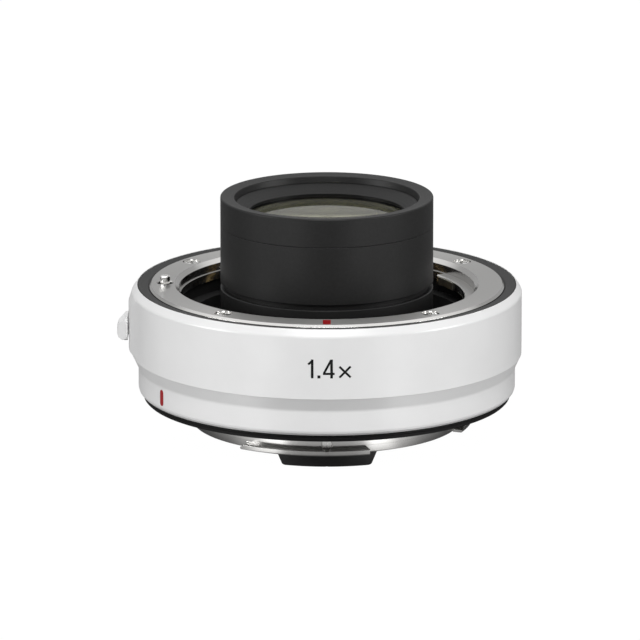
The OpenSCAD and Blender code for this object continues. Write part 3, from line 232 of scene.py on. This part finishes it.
brightLook = {"light": (0.86, 0.855, 0.84), "dark": (0.78, 0.775, 0.76), "rough": (0.2, 0.28)}


def brightSteel(name, look, size=0.3):
    material, tree, shader = newMaterial(name, Metallic=1.0)
    scuffs = grain(tree, size)
    tint(tree, shader, scuffs, look["dark"], look["light"])
    tree.links.new(spread(tree, scuffs, *look["rough"]), shader.inputs["Roughness"])
    relief(tree, shader, scuffs, 0.001, edge=0.05)
    return material


dress(brightSteel("screwSteel", brightLook), "front_mount_screws", "rear_mount_screws", "rear_stop_screw",
      "lock_pin", "release_screws", "barrel_screws", "rear_cell_screws", "board_screws", "contact_block_screws")

springLook = {"light": (0.34, 0.33, 0.28), "dark": (0.26, 0.25, 0.21), "rough": (0.3, 0.42)}
dress(brightSteel("springSteel", springLook, 0.6), "bayonet_leaf_springs", "lock_spring", "contact_springs",
      "release_slider")

blackScrewLook = {"light": 0.05, "dark": 0.035, "rough": (0.3, 0.45)}
dress(brightSteel("blackScrew", blackScrewLook), "rear_block_screws")

goldLook = {"light": (0.66, 0.49, 0.24), "dark": (0.56, 0.40, 0.18), "rough": (0.18, 0.3)}
contactPins = ["contact_pin_%02d" % (i + 1) for i in range(12)]
dress(brightSteel("contactGold", goldLook, 0.2), "rear_contacts", *contactPins)

castLook = {"light": (0.46, 0.47, 0.49), "dark": (0.38, 0.39, 0.41), "rough": (0.45, 0.6)}
dress(brightSteel("castAlloy", castLook, 0.8), "inner_frame")

barrelLook = {"light": 0.010, "dark": 0.0075, "rough": (0.42, 0.5), "pitch": 0.12}


def blackAnodised(name, look, along):
    material, tree, shader = newMaterial(name, Specular_IOR_Level=0.2)
    marks = turnedMarks(tree, look["pitch"], along)
    tint(tree, shader, grain(tree, 0.5), look["dark"], look["light"])
    tree.links.new(spread(tree, marks, *look["rough"]), shader.inputs["Roughness"])
    relief(tree, shader, grain(tree, 0.12, 2.0), 0.003, edge=0.08)
    return material


dress(blackAnodised("barrelBlack", barrelLook, "height"), "barrel_base", "lens_barrel", "barrel_front_ring",
      "front_retaining_ring", "lens_spacer", "middle_retaining_ring", "rear_lens_cell", "rear_retaining_ring")

trimLook = {"light": 0.019, "dark": 0.016, "rough": (0.5, 0.58), "pitch": 0.1}
dress(blackAnodised("trimBlack", trimLook, "radius"), "front_trim_ring")

matLook = {"light": 0.012, "dark": 0.008, "grain": 0.12, "rough": (0.7, 0.8), "shine": 0.2}
guardLook = {"light": 0.018, "dark": 0.014, "grain": 0.1, "rough": (0.45, 0.55), "shine": 0.4}
rubberLook = {"light": 0.006, "dark": 0.004, "grain": 0.2, "rough": (0.55, 0.65), "shine": 0.1}


def mouldedBlack(name, look):
    material, tree, shader = newMaterial(name, Specular_IOR_Level=look["shine"])
    speckle = grain(tree, look["grain"])
    tint(tree, shader, speckle, look["dark"], look["light"])
    tree.links.new(spread(tree, speckle, *look["rough"]), shader.inputs["Roughness"])
    relief(tree, shader, speckle, 0.006, edge=0.08)
    return material


dress(mouldedBlack("throatBlack", matLook), "throat_lining", "rear_baffle", "front_contact_block")
dress(mouldedBlack("guardBlack", guardLook), "rear_guard", "rear_contact_block", "board_chips")
dress(mouldedBlack("sealRubber", rubberLook), "rear_seal_ring")

redLook = {"light": (0.34, 0.007, 0.011), "dark": (0.28, 0.005, 0.009)}


def enamel(name, look):
    material, tree, shader = newMaterial(name, Specular_IOR_Level=0.2)
    cloud = grain(tree, 0.25)
    tint(tree, shader, cloud, look["dark"], look["light"])
    tree.links.new(spread(tree, cloud, 0.3, 0.42), shader.inputs["Roughness"])
    relief(tree, shader, cloud, 0.004)
    return material


dress(enamel("indexRed", redLook), "front_index_mark", "rear_index_mark")

boardLook = {"light": (0.025, 0.18, 0.08), "dark": (0.015, 0.13, 0.055)}
ribbonLook = {"light": (0.55, 0.28, 0.07), "dark": (0.45, 0.21, 0.05)}
dress(enamel("boardMask", boardLook), "main_board")
dress(enamel("ribbonFilm", ribbonLook), "front_ribbon", "rear_ribbon")


# The tone of each glass darkens and tints what is seen through it: painted shade for the dim olive inside of
# the lens. The warm specular tint is the coating's own colour.
def coatedGlass(name, dimmingTint, bend):
    material, tree, shader = newMaterial(name, Base_Color=(*dimmingTint, 1), IOR=bend, Transmission_Weight=1.0,
                                         Specular_Tint=(1.0, 0.95, 0.7, 1))
    tree.links.new(spread(tree, grain(tree, 4.0), 0.0, 0.004), shader.inputs["Roughness"])
    return material


dress(coatedGlass("frontGlass", (0.7, 0.7, 0.5), 1.42), "lens_1")
dress(coatedGlass("innerGlass", (0.35, 0.36, 0.22), 1.2), *["lens_%d" % (i + 2) for i in range(6)])
print("finishes done")


# magnification mark

markSetup = {
    "radius": 35.6,         # of the shell that carries it, mm
    "sink": 0.01,
    "rise": 0.015,
    "stroke": 0.46,
    "base": 11.4,           # foot of the figures
    "height": 3.45,
    "timesHeight": 2.0,
    "one": -2.6,            # middle of each sign along the shell, mm
    "dot": -1.4,
    "four": 0.35,
    "times": 3.25,
    "thinner": 0.85,        # share of the stroke in slanted and level strokes
    "flag": (0.72, 0.92),   # how far the flag of the one goes out and down
    "fourStem": 0.5,        # stem, left end and right end of the bar from the middle of the four
    "fourLeft": 1.04,
    "fourRight": 1.05,
    "fourBar": 0.24,        # share of the height
    "dotSize": 1.15,        # share of the stroke
    "timesSeat": 0.9,       # share of its arm that stands over the foot
}


def strokePoints(start, end, width, steps=8):
    a, b = Vector(start), Vector(end)
    side = (b - a).orthogonal().normalized() * (width / 2)
    return [(a.lerp(b, i / steps) - side, a.lerp(b, i / steps) + side) for i in range(steps + 1)]


def wrapped(point, setup, lift):
    angle = point.x / setup["radius"]
    reach = setup["radius"] + lift
    return Vector((reach * math.sin(angle), -reach * math.cos(angle), point.y)) * mm


def markStrokes(setup):                           # start, end and width of each stroke, mm
    low, high, wide = setup["base"], setup["base"] + setup["height"], setup["stroke"]
    half, thin = wide / 2, wide * setup["thinner"]
    one, dot, four, cross = setup["one"], setup["dot"], setup["four"], setup["times"]
    flagOut, flagDrop = setup["flag"]
    stem, left, right = setup["fourStem"], setup["fourLeft"], setup["fourRight"]
    bar = low + setup["height"] * setup["fourBar"]
    block = wide * setup["dotSize"]
    arm = setup["timesHeight"] / 2
    middle = low + half + arm * setup["timesSeat"]
    return [
        ((one, low), (one, high), wide),
        ((one + half * 0.4, high - half * 0.9), (one - flagOut, high - flagDrop), thin),
        ((dot, low), (dot, low + block), block),
        ((four + stem, low), (four + stem, high), wide),
        ((four + stem - 0.08, high - 0.1), (four - left + 0.18, bar + half * 0.4), thin),
        ((four - left, bar), (four + right, bar), thin),
        ((cross - arm, middle - arm), (cross + arm, middle + arm), thin),
        ((cross - arm, middle + arm), (cross + arm, middle - arm), thin),
    ]


def makeMark(setup):
    mesh = bpy.data.meshes.new("magnificationMark")
    build = bmesh.new()
    low, high = -setup["sink"], setup["rise"]
    for start, end, width in markStrokes(setup):
        rows = []
        for left, right in strokePoints(start, end, width):
            corners = ((left, low), (right, low), (right, high), (left, high))
            rows.append([build.verts.new(wrapped(point, setup, lift)) for point, lift in corners])
        for near, far in zip(rows, rows[1:]):
            for i in range(4):
                build.faces.new((near[i], near[(i + 1) % 4], far[(i + 1) % 4], far[i]))
        build.faces.new(rows[0][::-1])
        build.faces.new(rows[-1])
    bmesh.ops.recalc_face_normals(build, faces=build.faces)
    build.to_mesh(mesh)
    build.free()
    piece = bpy.data.objects.new("magnificationMark", mesh)
    bpy.context.scene.collection.objects.link(piece)
    return piece


inkLook = {"light": 0.008, "dark": 0.005, "grain": 0.15, "rough": (0.45, 0.55), "shine": 0.15}
mark = makeMark(markSetup)
mark.data.materials.append(mouldedBlack("markInk", inkLook))
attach(mark, "housing")
print("magnification mark done")


# studio

studio = {
    "floor": 6.0,                     # m across
    "floorTone": (0.3, 0.3, 0.3),
    "floorGlow": 0.96,                # share of plain white that the camera sees
    "floorWhite": 1.04,
    "floorPaintedShadow": (0.034, 0.046),     # painted shadow round the part on the mirrored floor: it darkens from the outer to the inner radius, m
    "floorShadowShare": 0.2,                 # share of its brightness at the inner radius, the darkest of the painted shadow
    # painted glow of the mirrored floor, seen only in reflections: degrees round from the front, brightness
    "floorPaintedGlow": ((0, 0.7), (14, 0.8), (22, 1.1), (28, 3.2), (37, 3.2), (45, 1.5), (60, 0.8), (90, 0.45),
                   (115, 0.25), (160, 0.2), (175, 2.2)),
    # mirrored room: z of the direction, brightness
    "backdrop": ((-0.05, 0.6), (0.1, 0.65), (0.3, 0.68), (0.48, 0.75), (0.6, 1.5), (0.8, 2.0)),
    "lampDistance": 0.9,              # m from the part
    "lampAim": 0.01,                  # height that the lamps point at, m
    "front": 0.15,                    # dark side of the studio, behind the camera
    "frontFade": (-0.75, -0.35),      # y of the direction over which that side fades
}
lamps = {                             # degrees round and up, size in m, watts, mirrored or not
    "key": (0, 46, 0.5, 6.0, True),
    "leftBox": (-70, 14, 0.35, 4.0, True),
    "rightBox": (70, 14, 0.35, 4.0, True),
    "backBox": (180, 28, 0.5, 5.0, False),
}


def seenRays(tree):                   # camera rays, then glossy and transmission rays
    path = addNode(tree, "ShaderNodeLightPath")
    mirror = addNode(tree, "ShaderNodeMath", operation="MAXIMUM")
    tree.links.new(path.outputs["Is Glossy Ray"], mirror.inputs[0])
    tree.links.new(path.outputs["Is Transmission Ray"], mirror.inputs[1])
    return path.outputs["Is Camera Ray"], mirror.outputs[0]


def calculate(tree, operation, *sources):
    node = addNode(tree, "ShaderNodeMath", operation=operation)
    for socket, source in zip(node.inputs, sources):
        if isinstance(source, (int, float)):
            socket.default_value = source
        else:
            tree.links.new(source, socket)
    return node.outputs[0]


def levels(tree, value, steps):       # brightness that follows a value through the given steps
    low, high = steps[0][0], steps[-1][0]
    curve = addNode(tree, "ShaderNodeValToRGB")
    stops = curve.color_ramp.elements
    while len(stops) < len(steps):
        stops.new(1.0)
    for stop, (at, level) in zip(stops, steps):
        stop.position = (at - low) / (high - low)
        stop.color = (level, level, level, 1)
    tree.links.new(mapped(tree, value, low, high), curve.inputs["Fac"])
    return curve.outputs["Color"]


def paintedFloorReflection(tree, setup):       # brightness that metal and paint mirror: a painted glow in lobes round the front and a painted shadow near the part
    place = addNode(tree, "ShaderNodeTexCoord")
    split = addNode(tree, "ShaderNodeSeparateXYZ")
    tree.links.new(place.outputs["Object"], split.inputs[0])
    aside = calculate(tree, "ABSOLUTE", split.outputs["X"])
    ahead = calculate(tree, "MULTIPLY", split.outputs["Y"], -1.0)
    turn = calculate(tree, "ARCTAN2", aside, ahead)
    around = levels(tree, calculate(tree, "DEGREES", turn), setup["floorPaintedGlow"])
    length = addNode(tree, "ShaderNodeVectorMath", operation="LENGTH")
    tree.links.new(place.outputs["Object"], length.inputs[0])
    # painted shadow: the mirrored floor darkens towards the part
    shade = mapped(tree, length.outputs["Value"], *setup["floorPaintedShadow"], setup["floorShadowShare"])
    return calculate(tree, "MULTIPLY", around, shade)


def makeFloor(setup):
    build = bmesh.new()
    bmesh.ops.create_grid(build, x_segments=2, y_segments=2, size=setup["floor"] / 2)
    mesh = bpy.data.meshes.new("floor")
    build.to_mesh(mesh)
    build.free()
    floor = bpy.data.objects.new("floor", mesh)
    floor.location.z = cadBox[0].z
    bpy.context.scene.collection.objects.link(floor)
    material, tree, shader = newMaterial("floorPaper", Base_Color=(*setup["floorTone"], 1), Roughness=0.9)
    shader.inputs["Specular IOR Level"].default_value = 0.0
    camera, mirror = seenRays(tree)
    seen = calculate(tree, "MULTIPLY", camera, setup["floorGlow"])
    white = calculate(tree, "MULTIPLY", camera, setup["floorWhite"])
    # for glossy and transmission rays the floor glows with painted highlights and a painted shadow, which no
    # lamp gives
    mirrored = calculate(tree, "MULTIPLY", mirror, paintedFloorReflection(tree, setup))
    glow = addNode(tree, "ShaderNodeEmission")
    tree.links.new(calculate(tree, "ADD", white, mirrored), glow.inputs["Strength"])
    mix = addNode(tree, "ShaderNodeMixShader")
    tree.links.new(calculate(tree, "MAXIMUM", seen, mirror), mix.inputs["Fac"])
    tree.links.new(shader.outputs[0], mix.inputs[1])
    tree.links.new(glow.outputs[0], mix.inputs[2])
    side = addNode(tree, "ShaderNodeNewGeometry")
    clear = addNode(tree, "ShaderNodeBsdfTransparent")
    paper = addNode(tree, "ShaderNodeMixShader")      # nothing hides the part from a view below the floor
    tree.links.new(side.outputs["Backfacing"], paper.inputs["Fac"])
    tree.links.new(mix.outputs[0], paper.inputs[1])
    tree.links.new(clear.outputs[0], paper.inputs[2])
    tree.links.new(paper.outputs[0], tree.nodes["Material Output"].inputs["Surface"])
    mesh.materials.append(material)


def makeWorld(setup):
    world = bpy.data.worlds.new("studio")
    bpy.context.scene.world = world
    world.use_nodes = True
    tree = world.node_tree
    tree.nodes.clear()
    camera, mirror = seenRays(tree)
    place = addNode(tree, "ShaderNodeTexCoord")
    split = addNode(tree, "ShaderNodeSeparateXYZ")
    tree.links.new(place.outputs["Generated"], split.inputs[0])
    behind = mapped(tree, split.outputs["Y"], *setup["frontFade"], setup["front"])
    wall = calculate(tree, "MULTIPLY", levels(tree, split.outputs["Z"], setup["backdrop"]), behind)
    mirrored = calculate(tree, "MULTIPLY", mirror, wall)
    light = addNode(tree, "ShaderNodeBackground")
    tree.links.new(calculate(tree, "ADD", camera, mirrored), light.inputs["Strength"])
    out = addNode(tree, "ShaderNodeOutputWorld")
    tree.links.new(light.outputs[0], out.inputs["Surface"])


def makeLamp(name, turn, rise, size, watts, mirrored):
    data = bpy.data.lights.new(name, "AREA")
    data.shape, data.size, data.energy = "SQUARE", size, watts
    lamp = bpy.data.objects.new(name, data)
    turn, rise = math.radians(turn), math.radians(rise)
    outward = Vector((math.sin(turn) * math.cos(rise), -math.cos(turn) * math.cos(rise), math.sin(rise)))
    lamp.location = outward * studio["lampDistance"] + Vector((0, 0, studio["lampAim"]))
    lamp.rotation_euler = outward.to_track_quat("Z", "Y").to_euler()
    lamp.visible_glossy = lamp.visible_transmission = mirrored
    bpy.context.scene.collection.objects.link(lamp)


makeFloor(studio)
makeWorld(studio)
for lampName, lampSetup in lamps.items():
    makeLamp(lampName, *lampSetup)
print("studio lit")
